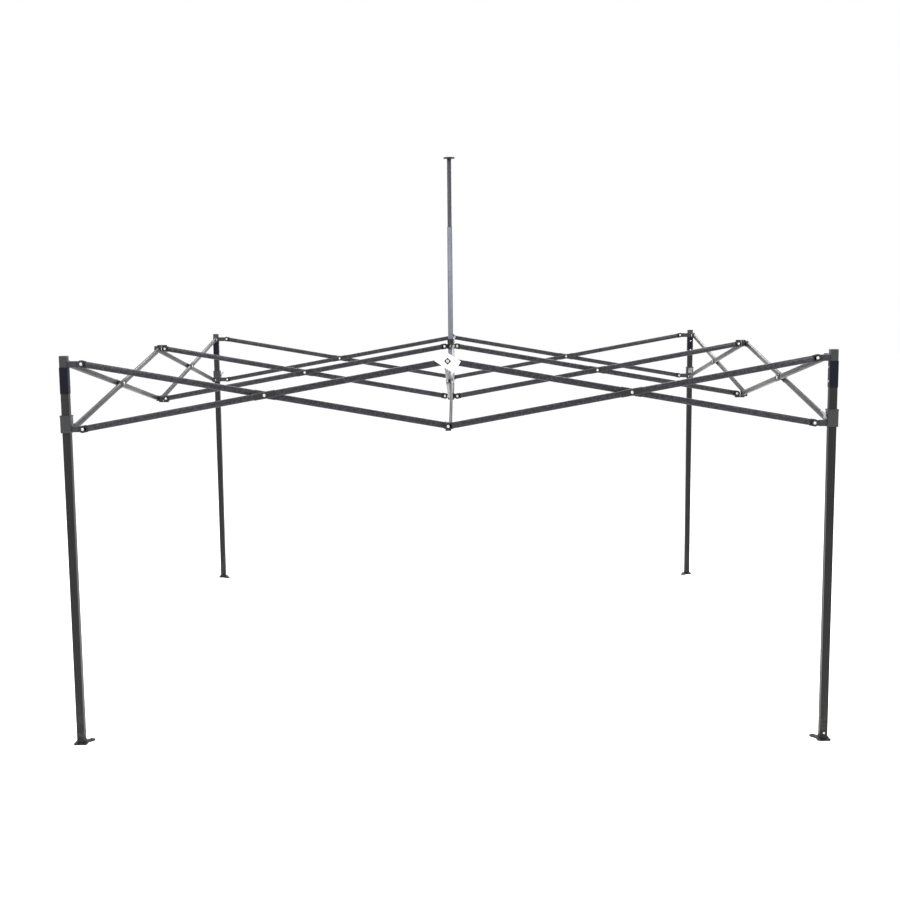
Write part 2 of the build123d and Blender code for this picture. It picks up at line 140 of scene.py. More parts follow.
def cells(graph, place, scale, feature="F1"):
    return graph.add("ShaderNodeTexVoronoi", {"Vector": place, "Scale": scale}, "Distance", feature=feature)


def between(graph, value, low, high):
    """Goes smoothly from 0 at low to 1 at high."""
    values = {"Value": value, "From Min": low, "From Max": high}
    return graph.add("ShaderNodeMapRange", values, interpolation_type="SMOOTHSTEP")


def blend(graph, mask, dark, light):
    return graph.add("ShaderNodeMix", {0: mask, 6: (*dark, 1), 7: (*light, 1)}, 2, data_type="RGBA")


def tint(graph, mask, colour, over):
    """Lays a plain colour over one that already varies."""
    return graph.add("ShaderNodeMix", {0: mask, 6: colour, 7: (*over, 1)}, 2, data_type="RGBA")


def stretch(graph, place, x, y, z):
    return graph.add("ShaderNodeMapping", {"Vector": place, "Scale": (x, y, z)})


def height_of(graph, place):
    return graph.add("ShaderNodeSeparateXYZ", {"Vector": place}, "Z")


def bump(graph, height, distance, strength=1.0):
    return graph.add("ShaderNodeBump", {"Height": height, "Distance": distance, "Strength": strength})


def end_finish(material, graph, **inputs):
    """Joins the finished wires to one Principled shader. Names have _ for a space."""
    values = {name.replace("_", " "): value for name, value in inputs.items()}
    shader = graph.add("ShaderNodeBsdfPrincipled", values, "BSDF")
    graph.add("ShaderNodeOutputMaterial", {"Surface": shader})
    print(material.name, len(material.node_tree.nodes), "nodes")
    return material


# %% [markdown]
# ### Painted steel
# The legs are square steel tube in a charcoal powder coat. Powder melts into a skin with a faint
# orange peel, which scuffs pale where the slider runs and gathers dust by the ground. The bars
# wear a hammered paint: it draws up into cells about 4 mm wide, with a thin dark line between
# them and metal flake inside, which is what makes them glitter along their top edges.

# %% Charcoal powder coat
SCUFF_GREY = (0.12, 0.12, 0.125)
GROUND_DUST = (0.13, 0.115, 0.095)
DUST_TOP = 0.22             # metres above the ground where the dust has gone


def charcoal_powder_coat(name, dark, light):
    material, graph, place = start_finish(name)
    cloud = noise(graph, place, scale=9.0, detail=4.0)
    peel = noise(graph, place, scale=900.0, detail=2.0)
    upright = stretch(graph, place, x=1, y=1, z=0.12)
    streaks = noise(graph, upright, scale=160.0, detail=6.0, roughness=0.7)
    scuffs = between(graph, streaks, low=0.66, high=0.78)
    near_ground = 1 - between(graph, height_of(graph, place), low=0.0, high=DUST_TOP)
    dust = near_ground * between(graph, noise(graph, place, scale=70.0, detail=5.0), low=0.38, high=0.72)
    colour = tint(graph, scuffs * 0.30, blend(graph, cloud, dark, light), SCUFF_GREY)
    colour = tint(graph, dust * 0.25, colour, GROUND_DUST)
    rough = 0.38 + cloud * 0.10 + scuffs * 0.12 + dust * 0.25
    return end_finish(material, graph, Base_Color=colour, Roughness=rough,
                      Normal=bump(graph, peel, distance=0.00012), Specular_IOR_Level=0.2)


LEG_COAT = charcoal_powder_coat("charcoal_powder_coat", (0.006, 0.0055, 0.006), (0.013, 0.0115, 0.0115))
INNER_COAT = charcoal_powder_coat("inner_leg_coat", (0.007, 0.0065, 0.007), (0.015, 0.0135, 0.0135))
FOOT_COAT = charcoal_powder_coat("foot_plate_coat", (0.004, 0.0035, 0.004), (0.009, 0.0075, 0.008))

# %% Hammered paint
CELL_WARP = 0.0022          # metres that the cells' edges wander
FLAKE_BLUE = (0.14, 0.145, 0.17)


def hammered_paint(name, dark, light):
    material, graph, place = start_finish(name)
    wander = {"Vector": place, "Scale": 240.0, "Detail": 1.0}
    bent = graph.add("ShaderNodeTexNoise", wander, "Color")
    moved = graph.add("ShaderNodeVectorMath", {0: bent, 1: (CELL_WARP,) * 3}, operation="MULTIPLY")
    warped = graph.add("ShaderNodeVectorMath", {0: place, 1: moved}, operation="ADD")
    dimple = between(graph, cells(graph, warped, scale=260.0), low=0.05, high=0.75)
    flake = noise(graph, place, scale=2600.0, detail=1.0)
    cloud = noise(graph, place, scale=16.0, detail=3.0)
    mottle = between(graph, noise(graph, place, scale=120.0, detail=3.0), low=0.42, high=0.66)
    shine = (1 - dimple) * (0.45 + flake * 0.55)
    colour = tint(graph, mottle * 0.16, blend(graph, shine, dark, light), FLAKE_BLUE)
    metal = 0.35 + shine * 0.35
    rough = 0.27 + dimple * 0.16 + cloud * 0.08
    return end_finish(material, graph, Base_Color=colour, Metallic=metal, Roughness=rough,
                      Normal=bump(graph, 1 - dimple, distance=0.00035), Coat_Weight=0.22,
                      Coat_Roughness=0.12, Specular_IOR_Level=0.25)


BAR_PAINT = hammered_paint("hammered_grey_paint", (0.007, 0.007, 0.0085), (0.045, 0.046, 0.053))

# %% [markdown]
# ### Bare and plated metal
# Pins and bolts are zinc plated: small bright crystals, with a cooler blue here and a warmer
# yellow there. The mast is drawn tube, so its fine lines run along it, and they are made by
# squeezing a noise hard in height.

# %% Zinc plate
COOL_ZINC = (0.50, 0.52, 0.57)
WARM_ZINC = (0.62, 0.60, 0.54)
DULL_ZINC = (0.22, 0.21, 0.20)


def zinc_plate(name):
    material, graph, place = start_finish(name)
    crystals = cells(graph, place, scale=900.0)
    cast = noise(graph, place, scale=60.0, detail=2.0)
    spots = noise(graph, place, scale=380.0, detail=5.0, roughness=0.7)
    marks = between(graph, spots, low=0.62, high=0.75)
    colour = tint(graph, marks * 0.5, blend(graph, cast, COOL_ZINC, WARM_ZINC), DULL_ZINC)
    rough = 0.24 + crystals * 0.25 + marks * 0.2
    return end_finish(material, graph, Base_Color=colour, Metallic=0.95, Roughness=rough,
                      Normal=bump(graph, crystals, distance=0.00006))


ZINC = zinc_plate("zinc_plate")

# %% Drawn tube
RUBBED_STEEL = (0.42, 0.44, 0.49)


def drawn_tube(name, dark, light):
    material, graph, place = start_finish(name)
    lines = noise(graph, stretch(graph, place, x=1, y=1, z=0.01), scale=1500.0, detail=3.0)
    cloud = noise(graph, place, scale=14.0, detail=4.0)
    wear = noise(graph, stretch(graph, place, x=1, y=1, z=0.2), scale=210.0, detail=5.0, roughness=0.7)
    rubbed = between(graph, wear, low=0.60, high=0.74)
    colour = blend(graph, lines * 0.5 + cloud * 0.5, dark, light)
    colour = tint(graph, rubbed * 0.25, colour, RUBBED_STEEL)
    rough = 0.30 + lines * 0.14 + rubbed * 0.08
    return end_finish(material, graph, Base_Color=colour, Metallic=0.65, Roughness=rough,
                      Normal=bump(graph, lines, distance=0.00004), Coat_Weight=0.15,
                      Coat_Roughness=0.2)


MAST_TUBE = drawn_tube("silver_blue_tube", (0.085, 0.09, 0.112), (0.20, 0.21, 0.25))
POLE_TUBE = drawn_tube("dull_grey_tube", (0.022, 0.0225, 0.028), (0.058, 0.059, 0.07))

# %% [markdown]
# ### Nylon, tape and the name plate
# Brackets, sliders, hubs and caps are moulded nylon. The mould's spark-eroded skin is a fine even
# grain, and handling polishes it in patches. The tape below each leg top is the loop half of a
# hook fastening, a dark pile that takes a sheen at its edges. The blank name plate is glossy
# white sheet.

# %% Moulded nylon
SCRATCH_GREY = (0.14, 0.14, 0.15)


def moulded_nylon(name, dark, light, base_rough=0.42):
    material, graph, place = start_finish(name)
    grain = noise(graph, place, scale=1700.0, detail=2.0)
    cloud = noise(graph, place, scale=22.0, detail=4.0)
    polish = between(graph, noise(graph, place, scale=48.0, detail=3.0), low=0.50, high=0.68)
    level = stretch(graph, place, x=1, y=1, z=6)
    scrapes = noise(graph, level, scale=190.0, detail=6.0, roughness=0.75)
    scratches = between(graph, scrapes, low=0.68, high=0.76)
    colour = blend(graph, cloud * 0.7 + grain * 0.3, dark, light)
    colour = tint(graph, scratches * 0.2, colour, SCRATCH_GREY)
    rough = base_rough + grain * 0.12 - polish * 0.12 + scratches * 0.15
    return end_finish(material, graph, Base_Color=colour, Roughness=rough,
                      Normal=bump(graph, grain, distance=0.00008), Specular_IOR_Level=0.3)


BLACK_NYLON = moulded_nylon("black_nylon", (0.005, 0.005, 0.006), (0.013, 0.013, 0.0145))
GREY_NYLON = moulded_nylon("grey_nylon", (0.016, 0.0165, 0.019), (0.030, 0.031, 0.034))
LEVER_NYLON = moulded_nylon("pale_lever_nylon", (0.20, 0.205, 0.215), (0.31, 0.315, 0.325), 0.36)

# %% Loop tape
PILE_DARK = (0.0015, 0.0018, 0.004)
PILE_LIGHT = (0.007, 0.008, 0.014)
LINT_GREY = (0.10, 0.10, 0.11)


def loop_tape(name):
    material, graph, place = start_finish(name)
    loops = cells(graph, place, scale=620.0)
    nap = noise(graph, place, scale=150.0, detail=4.0)
    lint = between(graph, noise(graph, place, scale=520.0, detail=4.0), low=0.70, high=0.78)
    colour = blend(graph, loops * 0.6 + nap * 0.4, PILE_DARK, PILE_LIGHT)
    colour = tint(graph, lint * 0.25, colour, LINT_GREY)
    rough = 0.82 + loops * 0.15
    return end_finish(material, graph, Base_Color=colour, Roughness=rough, Sheen_Weight=0.06,
                      Sheen_Roughness=0.5, Specular_IOR_Level=0.15,
                      Normal=bump(graph, 1 - loops, distance=0.0005))


TAPE = loop_tape("loop_tape_pile")

# %% White sheet
SHEET_DARK = (0.70, 0.71, 0.72)
SHEET_LIGHT = (0.82, 0.82, 0.81)
SMUDGE_GREY = (0.42, 0.42, 0.42)


def white_sheet(name):
    material, graph, place = start_finish(name)
    cloud = noise(graph, place, scale=30.0, detail=3.0)
    grain = noise(graph, place, scale=1200.0, detail=2.0)
    smudges = noise(graph, place, scale=160.0, detail=6.0, roughness=0.75)
    marks = between(graph, smudges, low=0.64, high=0.74)
    colour = tint(graph, marks * 0.3, blend(graph, cloud, SHEET_DARK, SHEET_LIGHT), SMUDGE_GREY)
    rough = 0.30 + marks * 0.25 + grain * 0.05
    return end_finish(material, graph, Base_Color=colour, Roughness=rough,
                      Normal=bump(graph, grain, distance=0.00003), Coat_Weight=0.3,
                      Coat_Roughness=0.15)


PLATE_WHITE = white_sheet("blank_plate_white")

# %% [markdown]
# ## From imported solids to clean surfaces
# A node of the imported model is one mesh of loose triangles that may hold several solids, such as
# a bracket and its two bolts. Its triangles come solid by solid, so a solid ends where every edge
# has met its partner. A copy of each solid is then merged, freed of the lines between flat
# triangles, and most are given small bevels, since no real moulding has a knife edge.

# %% Split a node into its solids
WELD = 1e-6                 # corners closer than this are one
FINE = 1 / WELD


def solids_in(node):
    """The faces of each closed solid of a node, as lists of corner triplets."""
    mesh = frame["nodes"][node].data
    keys = [tuple(round(c * FINE) for c in vertex.co) for vertex in mesh.vertices]
    solids, faces, waiting = [], [], set()
    for polygon in mesh.polygons:
        corners = [keys[v] for v in polygon.vertices]
        if len(set(corners)) < 3:
            continue
        faces.append([mesh.vertices[v].co.copy() for v in polygon.vertices])
        for edge in zip(corners, corners[1:] + corners[:1]):
            if edge[::-1] in waiting:
                waiting.remove(edge[::-1])
            else:
                waiting.add(edge)
        if not waiting:
            solids.append(faces)
            faces = []
    assert not faces, f"{node} has an open solid"
    return solids


def span_of(faces):
    """Lowest and highest corner of a solid."""
    points = [point for face in faces for point in face]
    low = Vector(min(p[i] for p in points) for i in range(3))
    high = Vector(max(p[i] for p in points) for i in range(3))
    return low, high


every_solid = {name: solids_in(name) for name in frame["nodes"]}
print(sum(map(len, every_solid.values())), "solids in", len(every_solid), "nodes")

# %% Merge a solid and round its edges
SOFT_EDGE = 0.6 * MM        # a moulding's edges, where no other width is given
TUBE_EDGE = 0.2 * MM
FINE_EDGE = 0.3 * MM
SMALL_EDGE = 0.5 * MM
BODY_EDGE = 0.8 * MM
EDGE_STEPS = 2
SOLID_CORNER = 32           # degrees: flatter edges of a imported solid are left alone
GROWN_CORNER = 40           # the same for a mesh that a tree grew
SHADED_CORNER = 38          # degrees from which shading shows an edge


def round_edges(thing, width, corner):
    rounding = thing.modifiers.new("edges", "BEVEL")
    rounding.width = width
    rounding.segments = EDGE_STEPS
    rounding.angle_limit = radians(corner)


def evaluated_copy(thing):
    """A plain mesh of an object as its modifiers leave it. The object is removed."""
    graph = bpy.context.evaluated_depsgraph_get()
    mesh = bpy.data.meshes.new_from_object(thing.evaluated_get(graph))
    bpy.data.objects.remove(thing)
    return mesh


def clean_solid(faces, material, bevel=SOFT_EDGE):
    """One solid as a merged mesh with its corners rounded."""
    shape = bmesh.new()
    for face in faces:
        shape.faces.new([shape.verts.new(point) for point in face])
    bmesh.ops.remove_doubles(shape, verts=shape.verts, dist=2 * WELD)
    bmesh.ops.dissolve_limit(shape, angle_limit=radians(1), verts=shape.verts, edges=shape.edges)
    mesh = bpy.data.meshes.new("solid")
    shape.to_mesh(mesh)
    shape.free()
    mesh.materials.append(material)
    if bevel:
        thing = bpy.data.objects.new("solid", mesh)
        bpy.context.scene.collection.objects.link(thing)
        round_edges(thing, bevel, SOLID_CORNER)
        mesh = evaluated_copy(thing)
    return mesh


# %% Join meshes into one object
def joined(name, meshes):
    """One object from several meshes, each keeping its own finishes."""
    shape = bmesh.new()
    finishes = []
    for mesh in meshes:
        start = len(shape.faces)
        shape.from_mesh(mesh)
        shape.faces.ensure_lookup_table()
        places = []
        for material in mesh.materials:
            if material not in finishes:
                finishes.append(material)
            places.append(finishes.index(material))
        for face in shape.faces[start:]:
            face.material_index = places[face.material_index]
    result = bpy.data.meshes.new(name)
    shape.to_mesh(result)
    shape.free()
    for material in finishes:
        result.materials.append(material)
    result.polygons.foreach_set("use_smooth", [True] * len(result.polygons))
    result.set_sharp_from_angle(angle=radians(SHADED_CORNER))
    piece = bpy.data.objects.new(name, result)
    bpy.context.scene.collection.objects.link(piece)
    return piece

# %% [markdown]
# ## Scissor bars
# Twenty four bars are alike: a flat hammered tube, a nylon cap about each end pivot, and a nylon
# sleeve where two bars cross. Their shape follows a rule, so one Geometry Nodes tree makes it
# from named sizes. A profile swept along a straight line gives each prism: the tube and the
# sleeve run along the bar, and a cap's head runs across it. Both ends are instances of one cap.

# %% A tree with named inputs
def new_tree(name, **sockets):
    """A geometry tree whose group inputs are made from names and types."""
    tree = bpy.data.node_groups.new(name, "GeometryNodeTree")
    tree.interface.new_socket("Geometry", in_out="INPUT", socket_type="NodeSocketGeometry")
    for label, kind in sockets.items():
        tree.interface.new_socket(label.replace("_", " "), in_out="INPUT", socket_type=f"NodeSocket{kind}")
    tree.interface.new_socket("Geometry", in_out="OUTPUT", socket_type="NodeSocketGeometry")
    graph = Graph(tree)
    group = tree.nodes.new("NodeGroupInput")
    labels = ("Geometry", *sockets)
    inputs = {label: Wire(graph, group.outputs[label.replace("_", " ")]) for label in labels}
    return tree, graph, inputs


def end_tree(tree, graph, geometry, **finishes):
    """Makes instances real, sets the finishes by their mark and joins the tree's output."""
    real = graph.add("GeometryNodeRealizeInstances", {"Geometry": geometry})
    for mark, material in finishes.items():
        values = {"Geometry": real, "Material": material}
        if mark != "rest":
            named = graph.add("GeometryNodeInputNamedAttribute", {"Name": mark}, data_type="BOOLEAN")
            values["Selection"] = named
        real = graph.add("GeometryNodeSetMaterial", values)
    graph.add("NodeGroupOutput", {"Geometry": real})
    return tree


def marked(graph, geometry, mark):
    values = {"Geometry": geometry, "Name": mark, "Value": True}
    return graph.add("GeometryNodeStoreNamedAttribute", values, data_type="BOOLEAN", domain="FACE")


def grown(name, tree, values, base=None, bevel=0.0):
    """The plain mesh that a tree grows on a base mesh from the values of its named inputs."""
    thing = bpy.data.objects.new(name, base or bpy.data.meshes.new(name))
    bpy.context.scene.collection.objects.link(thing)
    modifier = thing.modifiers.new(name, "NODES")
    modifier.node_group = tree
    for item in tree.interface.items_tree:
        if item.in_out == "INPUT" and item.name.replace(" ", "_") in values:
            modifier[item.identifier] = values[item.name.replace(" ", "_")]
    if bevel:
        round_edges(thing, bevel, GROWN_CORNER)
    return evaluated_copy(thing)


# %% The bar tree
def prism(graph, start, end, wide, tall, corner, count=4):
    """A rounded rectangle swept in a straight line from start to end."""
    line = graph.add("GeometryNodeCurvePrimitiveLine", {"Start": start, "End": end})
    line = graph.add("GeometryNodeSetCurveNormal", {"Curve": line}, mode="Z_UP")
    outline = graph.add("GeometryNodeCurvePrimitiveQuadrilateral", {"Width": wide, "Height": tall})
    rounded = {"Curve": outline, "Radius": corner, "Count": count, "Limit Radius": True}
    outline = graph.add("GeometryNodeFilletCurve", rounded, mode="POLY")
    swept = {"Curve": line, "Profile Curve": outline, "Fill Caps": True}
    return graph.add("GeometryNodeCurveToMesh", swept)


def at(graph, x=0.0, y=0.0, z=0.0):
    return graph.add("ShaderNodeCombineXYZ", {"X": x, "Y": y, "Z": z})


POCKET = 0.4                # the share of a cap's length that the tube leaves empty
HEAD_STEPS = 6              # a cap's round head has more points to a corner than a tube


def bar_tree():
    """A bar along X from its first pivot, its tall side along Z."""
    tree, graph, size = new_tree(
        "scissor bar", Length="Float", Thick="Float", Tall="Float", Corner="Float", Skin="Float",
        Edge="Float", Cap_Head="Float", Cap_Long="Float", Cap_Corner="Float", Clip_Long="Float",
        Band="Float", Band_Proud="Float", Paint="Material", Nylon="Material")
    length, corner, band = size["Length"], size["Corner"], size["Band"]
    wide = size["Thick"] + size["Skin"] * 2
    tall = size["Tall"] + size["Edge"] * 2
    outer_corner = corner + size["Skin"]
    proud = size["Band_Proud"] * 2
    pocket = size["Cap_Long"] * POCKET
    tube = prism(graph, at(graph, pocket), at(graph, length - pocket), size["Thick"], size["Tall"], corner)

    head_long = size["Cap_Head"] + size["Cap_Long"]
    across = wide * 0.5
    head = prism(graph, at(graph, 0.0, 0 - across), at(graph, 0.0, across), head_long, tall,
                 size["Cap_Corner"], HEAD_STEPS)
    offset = at(graph, (size["Cap_Long"] - size["Cap_Head"]) * 0.5)
    head = graph.add("GeometryNodeTransform", {"Geometry": head, "Translation": offset})
    sleeve = prism(graph, at(graph, pocket), at(graph, size["Cap_Long"]), wide, tall, outer_corner)
    lip_start = at(graph, size["Cap_Long"] - band)
    lip = prism(graph, lip_start, at(graph, size["Cap_Long"]), wide + proud, tall + proud, outer_corner)
    cap = graph.add("GeometryNodeJoinGeometry", {"Geometry": [head, sleeve, lip]})
    spots = {"Count": 2, "Offset": at(graph, length)}
    ends = graph.add("GeometryNodeMeshLine", spots)
    index = graph.add("GeometryNodeInputIndex")
    half_turn = graph.add("FunctionNodeEulerToRotation", {"Euler": at(graph, 0.0, 0.0, index * pi)})
    spots = {"Points": ends, "Instance": cap, "Rotation": half_turn}
    caps = graph.add("GeometryNodeInstanceOnPoints", spots)

    clip_low = (length - size["Clip_Long"]) * 0.5
    clip_high = (length + size["Clip_Long"]) * 0.5
    clip = prism(graph, at(graph, clip_low), at(graph, clip_high), wide, tall, outer_corner)
    bands = [prism(graph, at(graph, low), at(graph, low + band), wide + proud, tall + proud, outer_corner)
             for low in (clip_low, clip_high - band)]
    plastic = graph.add("GeometryNodeJoinGeometry", {"Geometry": [clip, *bands]})
    nylon = graph.add("GeometryNodeJoinGeometry", {"Geometry": [caps, plastic]})
    nylon = graph.add("GeometryNodeRealizeInstances", {"Geometry": nylon})
    nylon = marked(graph, nylon, "nylon")
    whole = graph.add("GeometryNodeJoinGeometry", {"Geometry": [tube, nylon]})
    return end_tree(tree, graph, whole, rest=size["Paint"], nylon=size["Nylon"])


# %% Grow one bar
def pivot(name):
    return Vector(joints[name]["pos_m"])


hub_reach = -pivot("fold").y
half_side = -pivot("front_top_right_fold").y
upper = pivot("fold").z
lower = pivot("front_top_right_fold").z
bar_length = (pivot("front_right_leg_turn") - pivot("front_top_right_fold")).length
BAR = {
    "Length": bar_length, "Thick": 12 * MM, "Tall": 25 * MM, "Corner": 5.4 * MM, "Skin": 1 * MM,
    "Edge": 1.5 * MM, "Cap_Head": 14 * MM, "Cap_Long": 16 * MM, "Cap_Corner": 11.5 * MM,
    "Clip_Long": 82 * MM, "Band": 3 * MM, "Band_Proud": 0.15 * MM,
    "Paint": BAR_PAINT, "Nylon": BLACK_NYLON,
}
bar_mesh = grown("bar", bar_tree(), BAR, bevel=SMALL_EDGE)
print(f"bars {bar_length:.4f} m between pivots, {len(bar_mesh.polygons)} faces each")

# %% [markdown]
# ## Pivot pins
# Every pivot is a steel pin with a domed head at each end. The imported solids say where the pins
# are: a solid that is 12 mm wide two ways and longer than 15 mm in the third is one. Each becomes
# an edge of a small mesh, with an outward direction kept at both ends. The tree sweeps a shank
# along every edge and turns one head to every end, so a thousand pins would cost one head.

# %% The pin tree
HEAD_WIDE = 12 * MM
SHANK_LEAST = 15 * MM
FIT = MM / 4                # how far a packed pin's width may be from its head's
FLAT_TOP = 1.3              # above 1, a head's dome is cut flat on top
PIN = {"Head": HEAD_WIDE / 2, "High": 2.5 * MM, "Shank": 3 * MM, "Metal": ZINC}


def pin_tree():
    tree, graph, size = new_tree("pivot pins", Head="Float", High="Float", Shank="Float", Metal="Material")
    ball = graph.add("GeometryNodeMeshUVSphere", {"Segments": 18, "Rings": 9, "Radius": 1.0})
    place = graph.add("GeometryNodeInputPosition")
    across = [graph.add("ShaderNodeSeparateXYZ", {"Vector": place}, axis) * size["Head"] for axis in "XY"]
    rise = graph.add("ShaderNodeSeparateXYZ", {"Vector": place}, "Z")
    rise = graph.add("ShaderNodeClamp", {"Value": rise * FLAT_TOP, "Min": 0.0, "Max": 1.0}) * size["High"]
    dome = graph.add("GeometryNodeSetPosition", {"Geometry": ball, "Position": at(graph, *across, rise)})
    axis = graph.add("GeometryNodeInputNamedAttribute", {"Name": "outward"}, data_type="FLOAT_VECTOR")
    turn = graph.add("FunctionNodeAlignRotationToVector", {"Vector": axis}, axis="Z")
    spots = {"Points": size["Geometry"], "Instance": dome, "Rotation": turn}
    heads = graph.add("GeometryNodeInstanceOnPoints", spots)
    lines = graph.add("GeometryNodeMeshToCurve", {"Mesh": size["Geometry"]})
    circle = graph.add("GeometryNodeCurvePrimitiveCircle", {"Resolution": 16, "Radius": size["Shank"]})
    swept = {"Curve": lines, "Profile Curve": circle, "Fill Caps": True}
    shanks = graph.add("GeometryNodeCurveToMesh", swept)
    whole = graph.add("GeometryNodeJoinGeometry", {"Geometry": [heads, shanks]})
    return end_tree(tree, graph, whole, rest=size["Metal"])


PIN_TREE = pin_tree()
print(len(PIN_TREE.nodes), "nodes in the pin tree")


# %% Find the pins and washers of a node
def widths(faces):
    low, high = span_of(faces)
    return sorted(high - low)


def is_pin(faces):
    small, middle, large = widths(faces)
    return abs(small - HEAD_WIDE) < FIT and abs(middle - HEAD_WIDE) < FIT and large > SHANK_LEAST


def pin_edges(solids):
    """A mesh with one edge for each pin, from under one head to under the other."""
    points, edges, outward = [], [], []
    for faces in filter(is_pin, solids):
        low, high = span_of(faces)
        size = high - low
        along = max(range(3), key=lambda i: size[i])
        axis = Vector([float(i == along) for i in range(3)])
        middle = (low + high) / 2
        reach = size[along] / 2 - PIN["High"]
        edges.append((len(points), len(points) + 1))
        points += [middle - axis * reach, middle + axis * reach]
        outward += [*-axis, *axis]
    mesh = bpy.data.meshes.new("pin edges")
    mesh.from_pydata(points, edges, [])
    mesh.attributes.new("outward", "FLOAT_VECTOR", "POINT").data.foreach_set("vector", outward)
    return mesh


def pins_of(*names):
    solids = [solid for name in names for solid in every_solid[name]]
    return grown("pins", PIN_TREE, PIN, pin_edges(solids))


def others_of(name):
    """The solids of a node that aren't pins, in their order."""
    return [faces for faces in every_solid[name] if not is_pin(faces)]


pin_count = sum(is_pin(faces) for solids in every_solid.values() for faces in solids)
print(pin_count, "pins")

# %% [markdown]
# ## Lay the bars in the frame
# A bar lies along a heading and stands away from its bracket's tab by half a layer. The four
# sides are quarter turns of one, so six rows place all twenty four bars. Each is moved by a
# matrix that is applied to its mesh, so that its object stays at the origin.

# %% Rows for the six bars of a side
layer = abs(sum(corner.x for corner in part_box("front_inner_bar_b")) / 2)
rise = upper - lower
BAR_ROWS = {
    "inner_bar_a": (hub_reach, upper, "out", -rise, "right"),
    "inner_bar_b": (hub_reach, lower, "out", rise, "left"),
    "top_bar_right": (half_side, lower, "right", rise, "out"),
    "top_bar_left": (half_side, lower, "left", rise, "in"),
    "slider_bar_right": (half_side, upper, "right", -rise, "in"),
    "slider_bar_left": (half_side, upper, "left", -rise, "out"),
}


def side_ways(k):
    """Unit directions out of a side, to its right, and their opposites."""
    turn = Quaternion((0, 0, 1), k * pi / 2)
    out, right = turn @ Vector((0, -1, 0)), turn @ Vector((1, 0, 0))
    return {"out": out, "in": -out, "right": right, "left": -right}


def bar_place(k, reach, height, way, climb, away):
    ways = side_ways(k)
    run = (bar_length ** 2 - climb ** 2) ** 0.5
    along = (ways[way] * run + Vector((0, 0, climb))) / bar_length
    axes = Matrix((along, ways[away], along.cross(ways[away]))).transposed()
    start = ways["out"] * reach + Vector((0, 0, height)) + ways[away] * layer
    return Matrix.Translation(start) @ axes.to_4x4()


def finish_piece(name, meshes, body, slot, *nodes):
    """Joins meshes into one piece that rides on a body and stands for its nodes."""
    piece = joined(name, meshes)
    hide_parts(*nodes)
    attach(piece, body)
    return piece


# %% The bars, with their crossing pins and washers
WASHER_EDGE = 0.4 * MM
FIRST_WASHER = 4            # a bar's tube, two caps and sleeve come before its washers
bar_count = 0
for k, side in enumerate(SIDES):
    for row, place in BAR_ROWS.items():
        node = f"{side}_{row}"
        laid = bar_mesh.copy()
        laid.transform(bar_place(k, *place))
        loose = others_of(node)[FIRST_WASHER:]
        washers = [clean_solid(faces, BLACK_NYLON, WASHER_EDGE) for faces in loose]
        meshes = [laid, *washers, pins_of(node)]
        finish_piece(f"{node}_finish", meshes, node, "bar_hammer_grey", node)
        bar_count += 1
print(bar_count, "bars laid")

# %% [markdown]
# ## Middle brackets and the blank plate
# A middle bracket is one moulding with a tab for the two side bars and another for the inner bar.
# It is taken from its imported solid, with its edges rounded. The front upper one also carries the
# blank name plate on its long bolt, held by a dark diamond washer.

# %% Brackets
BRACKET_EDGE = 0.7 * MM
for side in SIDES:
    for level in ("upper", "lower"):
        node = f"{side}_{level}_bracket"
        moulding = clean_solid(others_of(node)[0], BLACK_NYLON, BRACKET_EDGE)
        finish_piece(f"{node}_finish", [moulding, pins_of(node)], node, "cap_black", node)
        print(node, len(moulding.polygons), "faces in the moulding")

# %% The plate and its washer
PLATE_EDGE = 0.35 * MM
sheet_solid, diamond_solid = every_solid["blank_plate"]
sheet = clean_solid(sheet_solid, PLATE_WHITE, PLATE_EDGE)
diamond = clean_solid(diamond_solid, BLACK_NYLON, PLATE_EDGE)
finish_piece("blank_plate_finish", [sheet, diamond], "front_upper_bracket", "plate_white", "blank_plate")
sheet_low, sheet_high = span_of(sheet_solid)
print("plate", [round(v, 4) for v in sheet_high - sheet_low])

# %% [markdown]
# ## Hubs and the mast
# The upper hub's collar has upright ribs, which stop the moulding from warping as it cools. Ribs that
# repeat round a circle are what instances are for: one rounded rib, a circle of points, and each
# point's own angle.

# %% Ribs round a collar
RIB_ROUND = 0.4             # a rib's corner radius as a share of its depth
RIB_STEPS = 2


def rib_tree():
    tree, graph, size = new_tree("collar ribs", Count="Int", Radius="Float", Low="Float", High="Float",
                                 Wide="Float", Deep="Float", Nylon="Material")
    ring = graph.add("GeometryNodeMeshCircle", {"Vertices": size["Count"], "Radius": size["Radius"]})
    rib = prism(graph, at(graph), at(graph, 0.0, 0.0, size["High"] - size["Low"]),
                size["Wide"], size["Deep"], size["Deep"] * RIB_ROUND, RIB_STEPS)
    place = graph.add("GeometryNodeInputPosition")
    turn = graph.add("FunctionNodeAlignRotationToVector", {"Vector": place}, axis="X")
    ribs = graph.add("GeometryNodeInstanceOnPoints", {"Points": ring, "Instance": rib, "Rotation": turn})
    lift = at(graph, 0.0, 0.0, size["Low"])
    ribs = graph.add("GeometryNodeTransform", {"Geometry": ribs, "Translation": lift})
    return end_tree(tree, graph, ribs, rest=size["Nylon"])


RIB_TREE = rib_tree()
COLLAR_RADIUS = 15.5 * MM
ARM_HALF = 12 * MM
hub_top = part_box("upper_hub")[1].z
upper_ribs = grown("ribs", RIB_TREE, {
    "Count": 20, "Radius": COLLAR_RADIUS, "Low": upper + ARM_HALF + 2 * MM, "High": hub_top - 3 * MM,
    "Wide": 1.4 * MM, "Deep": 1.8 * MM, "Nylon": BLACK_NYLON})
print(len(upper_ribs.polygons), "faces in the ribs")

